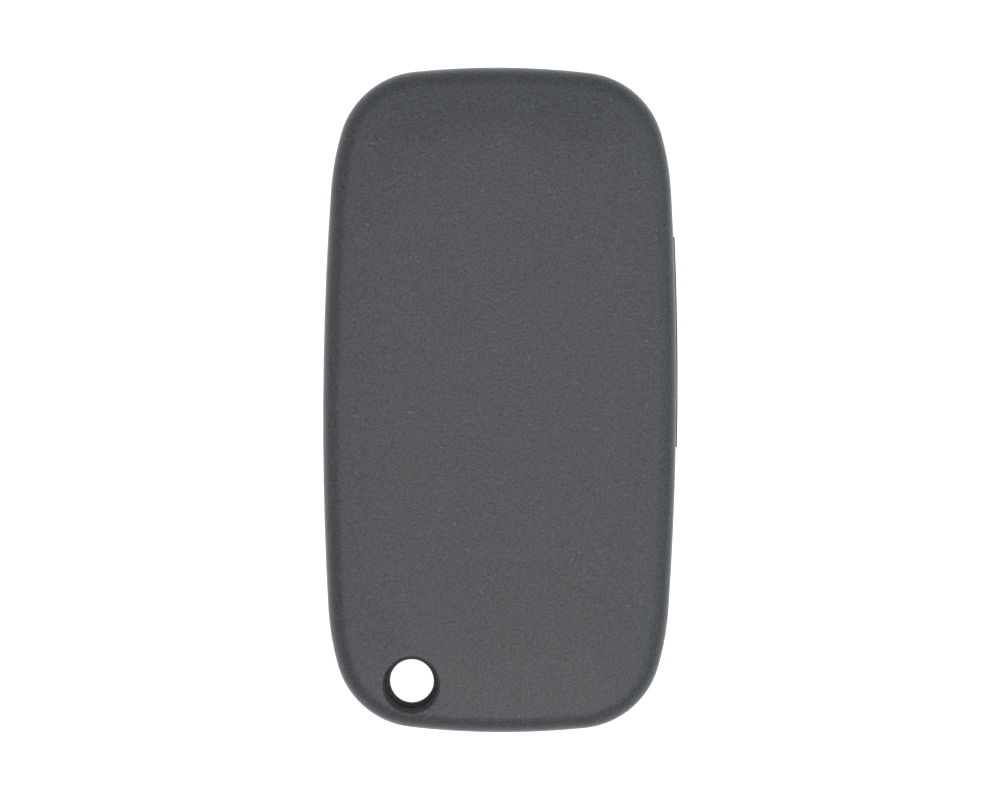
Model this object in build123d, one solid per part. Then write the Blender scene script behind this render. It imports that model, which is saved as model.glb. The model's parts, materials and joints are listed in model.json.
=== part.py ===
from build123d import *
import os
from math import atan2, cos, degrees, hypot, radians, sin, sqrt, tan

# Flip key remote: a rounded, slightly barrelled fob whose blade folds into a slot in one long side.
# The part lies on its button face. X runs across the fob, Y along it towards the pivot end, and Z from
# the button face up to the plain back. The origin is on the button face, under the middle of the fob.

# Body outline: four tangent arcs in each quarter
body_length = 73.0
body_width = 38.8
side_radius = 367.0
shoulder_radius = 29.5
shoulder_angle = 3.58
corner_radius = 9.36
end_radius = 88.4

# Shells
body_thickness = 14.0
front_depth = 8.8
side_wall = 1.5
face_wall = 1.6
back_edge_radius = 2.1
crown_width = 8.0
crown_height = 0.5
front_edge_radius = 2.6
front_edge_bevels = 2

# Tongue along the long sides, and the snaps that hold the two shells together
tongue_depth = 1.3
tongue_wall = 0.7
tongue_gap = 0.06
tongue_length = 60.0
snap_length = 5.0
snap_height = 0.3
snap_gap = 0.1
side_snaps = [(1, -27.5), (-1, -12.0), (-1, 12.0)]

# Key ring hole near one lower corner: each shell has its own boss round it, and the bosses meet at the seam
ring_hole_radius = 2.45
ring_hole_length = 3.0
ring_hole_from_end = 5.2
ring_hole_from_middle = 9.57
ring_flare = 0.5
ring_boss_wall = 0.9
ring_boss_gap = 0.1
ring_lip = 0.28

# Raised lips outside the front shell, under the blade slot and at the pivot end
lip_proud = 0.3
lip_height = 1.5
side_lip_low = -5.1
side_lip_high = 18.2
end_lip_low = -7.6
end_lip_high = 3.7

# Blade
blade_width = 8.2
blade_thickness = 2.3
blade_reach = 49.65
blade_inset = 0.8
blade_groove_width = 2.4
blade_groove_depth = 0.7
blade_groove_end = 1.5
blade_tip_length = 4.2
blade_tip_width = 2.6
blade_bevel = 0.25
tang_width = 5.2
tang_length = 6.85

# Blade carrier, which turns in both shells
disc_inset = 0.26
journal_step = 2.1
journal_wall = 1.5
journal_gap = 0.08
socket_wall = 1.3
carrier_floor = 1.0
neck_reach = 13.05
neck_shoulder = 7.5
neck_shoulder_angle = 20
neck_side_wall = 0.35
neck_cover = 0.55
neck_corner = 0.6
pin_radius = 0.75
fit_gap = 0.05
run_gap = 0.2

# Release button and its lock ring
release_gap = 0.1
button_sink = 0.15
release_travel = 1.5
release_cap = 1.75
release_skirt_wall = 1.0
release_dimple_radius = 3.9
release_dimple_depth = 0.3
lug_width = 2.9
lug_height = 1.0
lug_gap = 0.15
lock_ring_height = 1.0

# Flip spring and the forked post that holds its inner end
spring_gap = 0.9
spring_wire = 0.62
spring_turns = 4
spring_runs = 12
spring_foot = 0.8
post_gap = 0.3
post_reach = 6.3

# Blade bay
bay_gap = 0.35
bay_wall = 0.8
bay_rib_pitch = 8.3

# Buttons
key_width = 12.6
key_height = 8.0
key_pitch = 11.5
key_corner = 3.2
key_gap = 0.15
key_travel = 0.3
key_flange = 0.6
key_flange_height = 0.75
key_post_width = 3.0
key_bevel = 0.3

# Rubber mat behind the buttons, and the wall round them that it lies on
keypad_from_pivot = 29.65
keypad_from_bay = 1.0
frame_wall = 0.9
mat_sheet = 0.6
mat_nub_width = 2.6

# Circuit board
board_front = 5.8
board_thickness = 1.0
board_gap = 0.2
stand_width = 2.8
stand_pin_width = 1.4
stand_pin_gap = 0.1
solder_gap = 0.3

# Push switches
switch_width = 4.2
switch_length = 3.2
switch_height = 1.1
switch_sheet = 0.2
switch_well = 0.8
plunger_width = 2.0
plunger_length = 1.4
plunger_gap = 0.1
plunger_seat = 0.2

# Coin cell and its contacts
cell_radius = 10.0
cell_height = 3.2
contact_sheet = 0.25
contact_width = 4.0
contact_foot = 1.6
contact_edge_gap = 0.9
cell_rib_wall = 1.0

# Transmitter chip
chip_width = 6.4
chip_length = 5.0
chip_height = 1.2
chip_stand = 0.1
chip_leads = 4
lead_width = 0.4
lead_reach = 1.0
lead_sheet = 0.2

# Immobiliser aerial
core_length = 9.0
core_width = 2.8
core_flange = 1.0
winding = 0.35

# Crystal can and the small parts
crystal_size = (5.0, 3.2, 1.2)
crystal_lid_step = 0.3
small_part_size = (0.5, 1.0, 0.45)
small_part_pitch = 1.9
small_part_count = 4

# Places that follow from the sizes above


def polar(centre, radius, angle):
    """The point at an angle, in degrees, on a circle about a centre."""
    return (centre[0] + radius * cos(radians(angle)), centre[1] + radius * sin(radians(angle)))


def circles_meet(first, first_radius, second, second_radius):
    """The outer of the two points where two circles cross."""
    gap = hypot(second[0] - first[0], second[1] - first[1])
    along = (first_radius**2 - second_radius**2 + gap**2) / (2 * gap)
    across = sqrt(first_radius**2 - along**2)
    ux, uy = (second[0] - first[0]) / gap, (second[1] - first[1]) / gap
    options = [
        (first[0] + ux * along - uy * side * across, first[1] + uy * along + ux * side * across)
        for side in (1, -1)
    ]
    return max(options, key=sum)


def angle_from(centre, point):
    """The angle of a point seen from a centre, in degrees."""
    return degrees(atan2(point[1] - centre[1], point[0] - centre[0]))


side_centre = (body_width / 2 - side_radius, 0)
shoulder_centre = polar(side_centre, side_radius - shoulder_radius, shoulder_angle)
end_centre = (0, body_length / 2 - end_radius)
corner_centre = circles_meet(
    shoulder_centre, shoulder_radius - corner_radius, end_centre, end_radius - corner_radius
)
corner_start = angle_from(shoulder_centre, corner_centre)
corner_end = angle_from(end_centre, corner_centre)

# The pivot is the centre of the rounded corner, so the carrier's disc follows the corner as it turns.
pivot = corner_centre
disc_radius = corner_radius - disc_inset
journal_radius = disc_radius - journal_step
socket_radius = journal_radius + journal_gap
release_radius = journal_radius - journal_wall - release_gap
release_opening = release_radius + release_gap

blade_outer = body_width / 2 - blade_inset
blade_inner = blade_outer - blade_width
blade_middle = (blade_outer + blade_inner) / 2
blade_tip = pivot[1] - blade_reach
neck_end = pivot[1] - neck_reach
neck_outer = blade_outer + neck_side_wall
neck_inner = blade_inner - neck_side_wall
pin_centre = (blade_middle, neck_end + tang_length / 2)

disc_back = front_depth - run_gap
blade_back = disc_back - neck_cover
blade_front = blade_back - blade_thickness
disc_front = blade_front - neck_cover
slot_floor = disc_front - run_gap

ceiling = body_thickness - face_wall
journal_back = ceiling - run_gap / 2
journal_front = face_wall + lock_ring_height + lug_gap
release_back = button_sink + release_cap
lug_front = face_wall + lock_ring_height + release_gap
lug_radius = journal_radius - lug_gap
spring_back = journal_back - carrier_floor
spring_radius = release_radius - release_skirt_wall - spring_gap - spring_wire / 2
post_width = sqrt(2) * (spring_radius - spring_wire / 2 - post_gap)

cover_wall = side_wall + tongue_gap + tongue_wall
crown_start = body_thickness - crown_height
crown_lean = degrees(atan2(crown_height, crown_width - back_edge_radius))
bay_right = neck_inner - bay_gap
bay_left = bay_right - bay_wall
bay_end = blade_tip - bay_gap
bay_top = pivot[1] - disc_radius - run_gap
slot_left = 2 * pivot[0] - neck_outer - bay_gap

flange_width = key_width + 2 * key_flange
flange_height = key_height + 2 * key_flange
frame_width = flange_width + 4 * key_gap
frame_length = 2 * key_pitch + flange_height + 4 * key_gap
mat_width = frame_width + 2 * frame_wall
mat_length = frame_length + 2 * frame_wall
keypad = (bay_left - keypad_from_bay - mat_width / 2, pivot[1] - keypad_from_pivot)
key_rows = [keypad[1] + key_pitch, keypad[1], keypad[1] - key_pitch]

board_back = board_front + board_thickness
plate_front = board_front - switch_height - switch_sheet
plunger_front = plate_front - key_travel - 2 * fit_gap
mat_front = plunger_front - mat_sheet - 3 * fit_gap
flange_front = face_wall + fit_gap
key_post_end = mat_front - fit_gap

ring_centre = (-ring_hole_from_middle, ring_hole_from_end - body_length / 2)
ring_back_radius = ring_hole_radius + ring_flare
ring_boss_radius = ring_back_radius + ring_boss_wall
ring_inset = end_radius - hypot(ring_centre[0], ring_centre[1] + end_centre[1])

cavity_left = cover_wall - body_width / 2
cell_front = board_back + contact_sheet + fit_gap
cell_back = cell_front + cell_height
cell_centre = ((cavity_left + bay_left) / 2, keypad[1] - key_pitch / 2)
contact_reach = cell_radius + 2 * contact_sheet
contact_end = cell_centre[1] + contact_reach + contact_sheet + contact_foot

board_stands = [
    (cavity_left + stand_width, keypad[1] + key_pitch),
    (cavity_left + stand_width, keypad[1] - key_pitch),
    (bay_left - stand_width, keypad[1] - mat_length / 2 - stand_width),
]
chip_centre = (
    cavity_left + board_gap + stand_width + chip_width,
    contact_end + solder_gap + chip_length / 2 + lead_reach,
)
crystal_centre = (chip_centre[0] + chip_width / 2 + crystal_size[0], chip_centre[1])
core_centre = (cavity_left + core_width + 2 * stand_width, bay_top + core_length / 2)


# Shared shapes


def mirrored(angle, flip, rise):
    """An angle after its arc is mirrored left to right (flip -1) or top to bottom (rise -1)."""
    angle = angle if flip == 1 else 180 - angle
    return angle if rise == 1 else -angle


def body_outline(inset):
    """The fob's outline drawn in by an inset, as a face: every arc keeps its centre."""
    quarter = [
        (shoulder_centre, shoulder_radius, shoulder_angle, corner_start),
        (corner_centre, corner_radius, corner_start, corner_end),
    ]
    arcs = []
    for flip in (1, -1):
        turn = mirrored(0, flip, 1)
        side = (flip * side_centre[0], 0)
        arcs.append(CenterArc(side, side_radius - inset, turn - shoulder_angle, 2 * shoulder_angle))
        end = (0, flip * end_centre[1])
        arcs.append(CenterArc(end, end_radius - inset, turn + corner_end, 180 - 2 * corner_end))
        for rise in (1, -1):
            for (x, y), radius, start, stop in quarter:
                low, high = sorted(mirrored(angle, flip, rise) for angle in (start, stop))
                arcs.append(CenterArc((flip * x, rise * y), radius - inset, low, high - low))
    return make_face(Curve() + arcs)


def slab(inset, low, high):
    """The body outline, drawn in by an inset, as a straight solid between two heights."""
    return Pos(0, 0, low) * extrude(body_outline(inset), high - low, dir=(0, 0, 1))


def block(x, y, z):
    """A box given by two values each of X, Y and Z."""
    size = [abs(second - first) for first, second in (x, y, z)]
    middle = [(second + first) / 2 for first, second in (x, y, z)]
    return Pos(*middle) * Box(*size)


def centred(centre, width, length, z):
    """A box given by the middle of its outline, its width and length, and two values of Z."""
    return block(
        (centre[0] - width / 2, centre[0] + width / 2), (centre[1] - length / 2, centre[1] + length / 2), z
    )


def drum(centre, radius, low, high):
    """An upright cylinder between two heights."""
    return Pos(centre[0], centre[1], (low + high) / 2) * Cylinder(radius, high - low)


def pad(centre, width, length, corner, low, high):
    """An upright block with rounded corners, between two heights."""
    outline = RectangleRounded(width, length, corner)
    return Pos(centre[0], centre[1], low) * extrude(outline, high - low, dir=(0, 0, 1))


def slot_space(low, high):
    """The room that the blade, its neck and the disc need through the side, the corner and the end."""
    side = block((bay_right, body_width), (bay_end, body_length), (low, high))
    end = block((slot_left, body_width), (pivot[1], body_length), (low, high))
    return side + end + drum(pivot, disc_radius + run_gap, low, high)


def snap_ridges(height, length, low, high):
    """Short ridges outside the tongue's line on the long sides: the snaps, or the room for them."""
    line = side_wall + tongue_gap
    band = slab(line - height, low, high) - slab(line + tongue_wall / 2, low, high)
    ridges = Part()
    for side, middle in side_snaps:
        span = (middle - length / 2, middle + length / 2)
        ridges += band & block((0, side * body_width), span, (low, high))
    return ridges


def bay_ribs(low, high, floor, roof):
    """The ribs round the folded blade: its long wall and end wall, and low cross ribs beside it."""
    reach = body_width / 2
    ribs = block((bay_left, bay_right), (bay_end - bay_wall, bay_top), (low, high))
    ribs += block((bay_left, reach), (bay_end - bay_wall, bay_end), (low, high))
    count = int((neck_end - bay_end) / bay_rib_pitch)
    for k in range(1, count + 1):
        y = bay_end + k * bay_rib_pitch
        ribs += block((bay_right, reach), (y - bay_wall / 2, y + bay_wall / 2), (floor, roof))
    return ribs


# Shells


def make_back_cover():
    """The plain back: a crowned shell with a rolled edge, tongue and snaps, the hub's seat and ribs."""
    outer = slab(0, front_depth, crown_start)
    cover = fillet(outer.faces().sort_by(Axis.Z)[-1].edges(), back_edge_radius)
    crown = extrude(body_outline(back_edge_radius), crown_height, taper=90 - crown_lean)
    cover += Pos(0, 0, crown_start) * crown
    tongue_end = front_depth - tongue_depth
    joint = (tongue_end, front_depth)
    cover += slab(side_wall + tongue_gap, *joint) & centred((0, 0), body_width, tongue_length, joint)
    cover -= slab(cover_wall, tongue_end, ceiling)
    cover += snap_ridges(snap_height, snap_length, tongue_end, front_depth - tongue_depth / 2)
    cover -= slot_space(*joint)
    cover -= block((bay_left, body_width), (bay_end - bay_wall - fit_gap, bay_end), joint)

    inside = slab(side_wall, front_depth, ceiling + face_wall / 2)
    rib_end = disc_back + run_gap
    ribs = bay_ribs(rib_end, body_thickness, rib_end, body_thickness)
    cell_grip = cell_back + contact_sheet + 2 * fit_gap
    for side in (1, -1):
        x = cell_centre[0] + side * (contact_width / 2 + cell_rib_wall)
        ribs += centred((x, cell_centre[1]), cell_rib_wall, cell_radius, (cell_grip, body_thickness))
    ribs += drum(pivot, socket_radius + socket_wall, front_depth, body_thickness)
    ribs += drum(ring_centre, ring_boss_radius, front_depth, body_thickness)
    cover += ribs & inside
    cover -= drum(pivot, socket_radius, front_depth, ceiling)
    cover += centred(pivot, post_width, post_width, (ceiling - post_reach, ceiling))
    fork = spring_wire + 2 * fit_gap
    cover -= centred(pivot, fork, post_width, (ceiling - post_reach, spring_back))

    cover -= drum(ring_centre, ring_boss_radius + ring_boss_gap, *joint)
    cover -= drum(ring_centre, ring_back_radius, front_depth, body_thickness)
    ring_top = crown_start + (ring_inset - back_edge_radius) * tan(radians(crown_lean))
    lip = Cone(ring_back_radius - ring_lip, ring_back_radius + 3 * ring_lip, 4 * ring_lip)
    return cover - Pos(*ring_centre, ring_top) * Rot(X=crown_lean) * lip


def make_front_housing():
    """The button side: a tray with the lock ring, the blade bay, the ring boss and the board's stands."""
    housing = bevelled_slab() - slab(side_wall, face_wall, front_depth)
    inside = slab(side_wall / 2, face_wall, front_depth)
    housing += raised_lips()
    housing += drum(pivot, socket_radius + socket_wall, face_wall, slot_floor) & inside
    housing += bay_ribs(face_wall, disc_back, face_wall, slot_floor) & inside
    housing -= slot_space(slot_floor, front_depth)
    ring_back = face_wall + lock_ring_height
    housing -= drum(pivot, socket_radius, ring_back, front_depth)
    housing -= drum(pivot, release_opening, 0, ring_back)
    notches = centred(pivot, lug_width + 2 * lug_gap, 2 * socket_radius, (face_wall, ring_back))
    housing -= notches & drum(pivot, socket_radius, face_wall, ring_back)

    housing += drum(ring_centre, ring_boss_radius, face_wall, front_depth)
    housing -= drum(ring_centre, ring_hole_radius, 0, ring_hole_length)
    housing -= drum(ring_centre, ring_back_radius, ring_hole_length, front_depth)

    frame = centred(keypad, mat_width, mat_length, (face_wall, mat_front))
    housing += frame - centred(keypad, frame_width, frame_length, (face_wall, mat_front))
    for row in key_rows:
        opening = (key_width + 2 * key_gap, key_height + 2 * key_gap, key_corner + key_gap)
        housing -= pad((keypad[0], row), *opening, 0, face_wall)
    for stand in board_stands:
        housing += centred(stand, stand_width, stand_width, (face_wall, board_front))
        housing += centred(stand, stand_pin_width, stand_pin_width, (board_front, board_back))

    low, high = front_depth - tongue_depth - snap_gap, front_depth - tongue_depth / 2 + snap_gap
    return housing - snap_ridges(snap_height + snap_gap, snap_length + 2 * snap_gap, low, high)


def bevelled_slab():
    """The front shell's block: its face rim is turned in equal bevels that lie within the edge radius."""
    body = slab(0, front_edge_radius, front_depth)
    turn = radians(90 / front_edge_bevels)
    for k in range(front_edge_bevels):
        upper = [front_edge_radius * (1 - f(k * turn)) for f in (cos, sin)]
        lower = [front_edge_radius * (1 - f((k + 1) * turn)) for f in (cos, sin)]
        lean = degrees(atan2(upper[0] - lower[0], upper[1] - lower[1]))
        bevel = extrude(body_outline(lower[0]), upper[1] - lower[1], taper=lean)
        body += Pos(0, 0, lower[1]) * bevel
    return body


def raised_lips():
    """Two low lips outside the wall, below the slot: one along the blade side, one at the pivot end."""
    low, high = slot_floor - lip_height, slot_floor
    band = slab(-lip_proud, low, high) - slab(side_wall / 2, low, high)
    side = band & block((0, body_width), (side_lip_low, side_lip_high), (low, high))
    return side + (band & block((end_lip_low, end_lip_high), (0, body_length), (low, high)))


# Blade and flip mechanism


def make_blade_carrier():
    """The turning hub: two journals, a disc that fills the slot at the corner, and the blade's neck."""
    carrier = drum(pivot, journal_radius, journal_front, journal_back)
    carrier += drum(pivot, disc_radius, disc_front, disc_back)
    shoulder = polar(pivot, disc_radius, -neck_shoulder_angle)
    outline = Polyline(
        (neck_inner, pivot[1]),
        (neck_inner, neck_end),
        (neck_outer, neck_end),
        (neck_outer, pivot[1] - neck_shoulder),
        shoulder,
        close=True,
    )
    neck = Pos(0, 0, disc_front) * extrude(make_face(outline), disc_back - disc_front, dir=(0, 0, 1))
    neck = chamfer(neck.edges().filter_by(Axis.Z).group_by(Axis.Y)[0], neck_corner)
    carrier += neck & slab(disc_inset, disc_front, disc_back)

    carrier -= drum(pivot, release_opening, journal_front, spring_back)
    carrier -= drum(pivot, post_width / sqrt(2) + run_gap, spring_back, journal_back)
    slot_back = lug_front + lug_height + release_travel + lug_gap
    lug_slots = centred(pivot, lug_width + 2 * lug_gap, 2 * journal_radius, (journal_front, slot_back))
    carrier -= lug_slots & drum(pivot, journal_radius, journal_front, slot_back)

    carrier -= centred(pin_centre, tang_width, tang_length, (blade_front, blade_back))
    return carrier - drum(pin_centre, pin_radius, disc_front, disc_back)


def make_key_blade():
    """A blank blade with a groove milled in each face, a pointed tip and a tang for the neck."""
    shank_end = blade_tip + blade_tip_length
    half_tip = blade_tip_width / 2
    shank = Polyline(
        (blade_inner, neck_end),
        (blade_inner, shank_end),
        (blade_middle - half_tip, blade_tip),
        (blade_middle + half_tip, blade_tip),
        (blade_outer, shank_end),
        (blade_outer, neck_end),
        close=True,
    )
    blade = Pos(0, 0, blade_front) * extrude(make_face(shank), blade_thickness, dir=(0, 0, 1))
    flats = blade.faces().sort_by(Axis.Z)
    blade = chamfer(flats[0].edges() + flats[-1].edges(), blade_bevel)
    for side, face in ((-1, blade_front), (1, blade_back)):
        x = blade_middle + side * blade_groove_width / 4
        groove = (face - side * blade_groove_depth, face)
        end = neck_end - blade_groove_end
        blade -= block((x - blade_groove_width / 2, x + blade_groove_width / 2), (blade_tip, end), groove)
    tang = (pin_centre[0], pin_centre[1] - fit_gap)
    blade += centred(tang, tang_width - 2 * fit_gap, tang_length, (blade_front, blade_back))
    return blade - drum(pin_centre, pin_radius, blade_front, blade_back)


def make_blade_pin():
    """The pin that holds the tang in the neck, flush with the neck at both ends."""
    return drum(pin_centre, pin_radius - fit_gap / 2, disc_front, disc_back)


def make_release_button():
    """The round push button: a dimpled cap and skirt in one, with two lock lugs keyed in the carrier."""
    skirt_end = lug_front + lug_height
    button = drum(pivot, release_radius, button_sink, skirt_end)
    rim = button.faces().sort_by(Axis.Z)[0].edges()
    button = chamfer(rim, key_bevel)
    button -= drum(pivot, release_radius - release_skirt_wall, release_back, skirt_end)
    dimple = Cone(release_dimple_radius, release_dimple_radius - release_dimple_depth, release_dimple_depth)
    button -= Pos(*pivot, button_sink + release_dimple_depth / 2) * dimple
    lugs = centred(pivot, lug_width, 2 * lug_radius, (lug_front, skirt_end))
    button += lugs - drum(pivot, release_radius - release_skirt_wall / 2, lug_front, skirt_end)
    pocket = spring_wire + 2 * fit_gap
    foot = (pivot[0] + spring_radius, pivot[1])
    return button - centred(foot, pocket, pocket, (release_back - spring_foot - fit_gap, release_back))


def make_flip_spring():
    """The coil that opens the blade and lifts the button: square wire wound in short straight runs.

    One end stands in the button's cap, and the other lies across the fork of the cover's post.
    """
    low = release_back + spring_wire / 2 + fit_gap
    high = spring_back - spring_wire / 2 - fit_gap
    count = spring_turns * spring_runs
    points = [(*polar(pivot, spring_radius, 0), release_back - spring_foot)]
    for k in range(count + 1):
        angle = 90 * k / count + 360 * k / spring_runs
        points.append((*polar(pivot, spring_radius, angle), low + (high - low) * k / count))
    points.append((pivot[0], pivot[1] - post_width / 2, high))
    path = Polyline(*points)
    start = Plane(origin=points[0], z_dir=path % 0)
    return sweep(start * Rectangle(spring_wire, spring_wire), path=path, transition=Transition.RIGHT)


# Buttons, mat and switches


def make_key(row):
    """One key: a rounded cap in its opening, a flange behind the wall and a post towards its switch."""
    centre = (keypad[0], row)
    cap = pad(centre, key_width, key_height, key_corner, button_sink, flange_front)
    cap = chamfer(cap.faces().sort_by(Axis.Z)[0].edges(), key_bevel)
    flange_back = flange_front + key_flange_height
    flange = centred(centre, flange_width, flange_height, (flange_front, flange_back))
    return cap + flange + centred(centre, key_post_width, key_post_width, (flange_back, key_post_end))


def make_keypad_mat():
    """The silicone mat: a thin sheet with a nub over each switch and a rim that seals on the board."""
    low = mat_front + fit_gap
    mat = centred(keypad, mat_width, mat_length, (low, board_front - fit_gap))
    mat -= centred(keypad, frame_width, frame_length, (low + mat_sheet, board_front))
    for row in key_rows:
        mat += centred((keypad[0], row), mat_nub_width, mat_nub_width, (low, plunger_front - fit_gap))
    return mat


def make_switch_base(row):
    """A push switch's plastic base, with the well that its plunger sinks into."""
    base = centred((keypad[0], row), switch_width, switch_length, (plate_front + switch_sheet, board_front))
    well = (plunger_width + 4 * plunger_gap, plunger_length + 4 * plunger_gap)
    return base - centred((keypad[0], row), *well, (plate_front, plate_front + switch_sheet + switch_well))


def make_switch_plate(row):
    """The switch's steel cover, pierced for the plunger and folded down at both ends."""
    centre = (keypad[0], row)
    width = switch_width + 2 * switch_sheet
    plate = centred(centre, width, switch_length, (plate_front, board_front - 2 * switch_sheet))
    plate -= centred(centre, switch_width, switch_length, (plate_front + switch_sheet, board_front))
    window = (plunger_width + 2 * plunger_gap, plunger_length + 2 * plunger_gap)
    return plate - centred(centre, *window, (plate_front, board_front))


def make_plunger(row):
    """The switch's plunger, which the button's post pushes through the mat."""
    span = (plunger_front, plate_front + switch_sheet + plunger_seat)
    return centred((keypad[0], row), plunger_width, plunger_length, span)


# Electronics


def make_circuit_board():
    """The board: the body outline cut back for the blade bay, the hub's sweep and the ring boss."""
    sheet = (board_front, board_back)
    board = slab(cover_wall + board_gap, *sheet)
    board -= block((bay_left - board_gap, body_width), (-body_length, body_length), sheet)
    board -= block((slot_left - board_gap, body_width), (bay_top - board_gap, body_length), sheet)
    board -= drum(ring_centre, ring_boss_radius + board_gap, *sheet)
    hole = stand_pin_width + 2 * stand_pin_gap
    for stand in board_stands:
        board -= centred(stand, hole, hole, sheet)
    return board


def make_battery_cell():
    """The coin cell, which lies between its two contacts."""
    return drum(cell_centre, cell_radius, cell_front, cell_back)


def make_positive_contact():
    """The strap over the cell: one strip of sheet, folded down to the board at both ends."""
    low = cell_back + fit_gap
    high = low + contact_sheet
    outer = contact_reach + contact_sheet
    strap = centred(cell_centre, contact_width, 2 * outer, (board_back, high))
    strap -= centred(cell_centre, contact_width, 2 * contact_reach, (board_back, low))
    sheet = (board_back, board_back + contact_sheet)
    feet = centred(cell_centre, contact_width, 2 * (outer + contact_foot), sheet)
    return strap + (feet - centred(cell_centre, contact_width, 2 * contact_reach, (board_back, high)))


def make_negative_contact():
    """The strip under the cell, with a foot that runs out past it, up to the blade bay's wall."""
    x, y = cell_centre
    sheet = (board_back, board_back + contact_sheet)
    strip = centred(cell_centre, contact_width, cell_radius, sheet)
    return strip + block((x, bay_left - contact_edge_gap), (y, y + contact_foot), sheet)


def make_remote_chip():
    """The transmitter chip: a moulded body with a row of bent leads on each long side."""
    x, y = chip_centre
    low = board_back + chip_stand
    chip = centred(chip_centre, chip_width, chip_length, (low, low + chip_height))
    middle = low + chip_height / 2
    pitch = (chip_width - lead_width) / (chip_leads - 1)
    for k in range(chip_leads):
        left = x - chip_width / 2 + k * pitch
        lead = (left, left + lead_width)
        for side in (1, -1):
            edge = y + side * chip_length / 2
            knee = edge + side * lead_reach / 2
            toe = edge + side * lead_reach
            leg = block(lead, (edge, knee), (board_back, middle))
            leg += block(lead, (edge, toe), (board_back, board_back + lead_sheet))
            chip += leg - block(lead, (edge, knee - side * lead_sheet), (board_back, middle - lead_sheet))
    return chip


def make_transponder_core():
    """The immobiliser aerial's ferrite: a bar with a square flange at each end."""
    core = centred(core_centre, core_width, core_length, (board_back, board_back + core_width))
    waist = core_length - 2 * core_flange
    return core - core_wrap(waist, 0) + core_wrap(waist, 2 * winding)


def core_wrap(length, inset):
    """The square space round the ferrite's waist, drawn in by an inset."""
    width = core_width - 2 * inset
    return centred(core_centre, width, length, (board_back + inset, board_back + core_width - inset))


def make_transponder_winding():
    """The copper winding between the ferrite's flanges."""
    waist = core_length - 2 * core_flange
    coil = core_wrap(waist, winding)
    coil = chamfer(coil.edges().filter_by(Axis.Y), winding)
    return coil - core_wrap(waist, 2 * winding)


def make_crystal_can():
    """The frequency crystal in its lidded metal can."""
    width, length, height = crystal_size
    can = centred(crystal_centre, width, length, (board_back, board_back + height / 2))
    lid = (width - 2 * crystal_lid_step, length - 2 * crystal_lid_step)
    return can + centred(crystal_centre, *lid, (board_back, board_back + height))


def make_small_parts():
    """The resistors and capacitors, in a short row beyond the chip."""
    width, length, height = small_part_size
    y = chip_centre[1] + chip_length / 2 + lead_reach + length
    start = chip_centre[0] - small_part_pitch * (small_part_count - 1) / 2
    parts = []
    for k in range(small_part_count):
        x = start + k * small_part_pitch
        parts.append(centred((x, y), width, length, (board_back, board_back + height)))
    return Compound(children=parts)


# Writing the parts

nodes = {
    "back_cover": make_back_cover(),
    "front_housing": make_front_housing(),
    "blade_carrier": make_blade_carrier(),
    "key_blade": make_key_blade(),
    "blade_pin": make_blade_pin(),
    "release_button": make_release_button(),
    "flip_spring": make_flip_spring(),
    "keypad_mat": make_keypad_mat(),
    "circuit_board": make_circuit_board(),
    "battery_cell": make_battery_cell(),
    "battery_positive_contact": make_positive_contact(),
    "battery_negative_contact": make_negative_contact(),
    "remote_chip": make_remote_chip(),
    "transponder_core": make_transponder_core(),
    "transponder_winding": make_transponder_winding(),
    "crystal_can": make_crystal_can(),
    "small_board_parts": make_small_parts(),
}
for use, row in zip(("lock", "unlock", "boot"), key_rows):
    nodes[use + "_button"] = make_key(row)
    nodes[use + "_switch_base"] = make_switch_base(row)
    nodes[use + "_switch_plate"] = make_switch_plate(row)
    nodes[use + "_plunger"] = make_plunger(row)

os.makedirs("parts", exist_ok=True)
for name, shape in nodes.items():
    export_step(shape, f"parts/{name}.step")
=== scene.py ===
import json
from math import cos, radians, sin

import bmesh
import bpy
from mathutils import Matrix, Vector


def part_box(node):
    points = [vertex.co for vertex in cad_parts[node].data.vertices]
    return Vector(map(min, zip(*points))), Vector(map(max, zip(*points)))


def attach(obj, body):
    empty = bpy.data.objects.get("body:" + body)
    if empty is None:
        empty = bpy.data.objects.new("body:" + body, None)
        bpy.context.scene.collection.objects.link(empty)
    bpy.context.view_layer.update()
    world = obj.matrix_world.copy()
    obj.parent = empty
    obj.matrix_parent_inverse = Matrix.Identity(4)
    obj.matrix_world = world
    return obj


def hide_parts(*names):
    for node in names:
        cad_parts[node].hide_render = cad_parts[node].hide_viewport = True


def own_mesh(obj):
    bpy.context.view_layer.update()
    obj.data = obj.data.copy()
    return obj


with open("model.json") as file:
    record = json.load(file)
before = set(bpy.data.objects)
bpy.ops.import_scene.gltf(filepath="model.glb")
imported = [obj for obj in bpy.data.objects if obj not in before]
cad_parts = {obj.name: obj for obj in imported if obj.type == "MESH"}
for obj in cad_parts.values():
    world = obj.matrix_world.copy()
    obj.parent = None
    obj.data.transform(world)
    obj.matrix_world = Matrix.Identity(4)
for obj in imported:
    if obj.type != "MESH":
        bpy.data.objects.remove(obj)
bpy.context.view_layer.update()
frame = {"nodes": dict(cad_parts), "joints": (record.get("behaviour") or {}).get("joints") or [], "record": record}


# Back cover
# The plain rear half of the case, moulded in charcoal plastic. Its tool was spark eroded, so a fine even
# grain covers the flat and the rolled edge alike. It snaps over the button side along the seam.

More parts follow.
